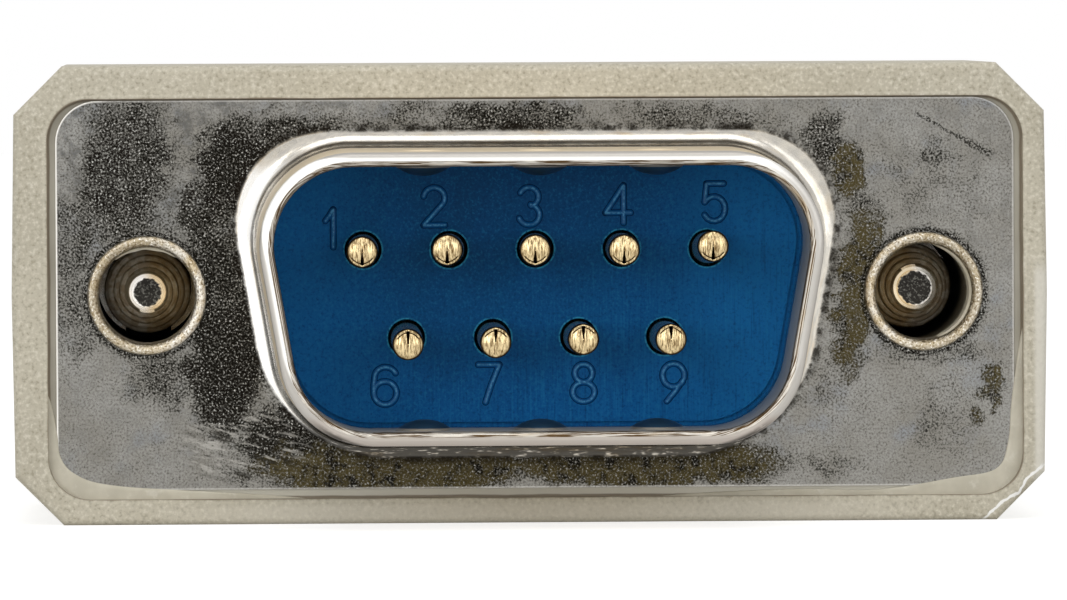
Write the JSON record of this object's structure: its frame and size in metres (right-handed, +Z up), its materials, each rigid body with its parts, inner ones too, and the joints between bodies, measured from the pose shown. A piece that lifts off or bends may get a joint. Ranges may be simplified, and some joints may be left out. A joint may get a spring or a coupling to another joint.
{
  "type": "d-sub cable plug",
  "caption": "D-sub cable plug with male pins in a D-shaped steel shell, a cut-corner moulded hood and captive thumbscrews.",
  "frame": {"origin": "middle of the D opening, on the front face of the steel flange", "axes": "+X to the right and +Z up as one looks into the mating end with the D's wide side up; the plug mates towards -Y, and its hood and cable inlet lie towards +Y"},
  "size_m": [0.0333, 0.0414, 0.0148],
  "materials": {
    "moulded_pvc": "fine spark-eroded texture, satin",
    "inner_plastic": "plain",
    "nickel_plated_steel": "tarnished nickel plate",
    "blue_insulator": "smooth, with fine streaks",
    "contact_gold": "thin gold plate over drawn brass",
    "eyelet_metal": "worn nickel plate on brass",
    "screw_steel": "turned, nickel plated",
    "head_plastic": "moulded, satin"
  },
  "bodies": {
    "plug": {"hood": "moulded_pvc", "inner_mould": "inner_plastic", "front_shell": "nickel_plated_steel", "rear_shell": "nickel_plated_steel", "front_insulator": "blue_insulator", "rear_insulator": "blue_insulator", "left_eyelet": "eyelet_metal", "right_eyelet": "eyelet_metal", "contact_1": "contact_gold", "contact_2": "contact_gold", "contact_3": "contact_gold", "contact_4": "contact_gold", "contact_5": "contact_gold", "contact_6": "contact_gold", "contact_7": "contact_gold", "contact_8": "contact_gold", "contact_9": "contact_gold"},
    "left_ring": {"left_retainer": "screw_steel"},
    "left_thumbscrew": {"left_screw": "screw_steel", "left_thumb_head": "head_plastic"},
    "right_ring": {"right_retainer": "screw_steel"},
    "right_thumbscrew": {"right_screw": "screw_steel", "right_thumb_head": "head_plastic"}
  },
  "joints": [
    {"name": "left_screw_push", "type": "slide", "parent": "plug", "child": "left_ring", "axis": [0, -1, 0], "range_m": [0, 0.0095]},
    {"name": "left_screw_turn", "type": "hinge", "parent": "left_ring", "child": "left_thumbscrew", "pos_m": [-0.01249, 0.0228, 0], "axis": [0, 1, 0], "continuous": true},
    {"name": "right_screw_push", "type": "slide", "parent": "plug", "child": "right_ring", "axis": [0, -1, 0], "range_m": [0, 0.0095]},
    {"name": "right_screw_turn", "type": "hinge", "parent": "right_ring", "child": "right_thumbscrew", "pos_m": [0.01249, 0.0228, 0], "axis": [0, 1, 0], "continuous": true}
  ]
}
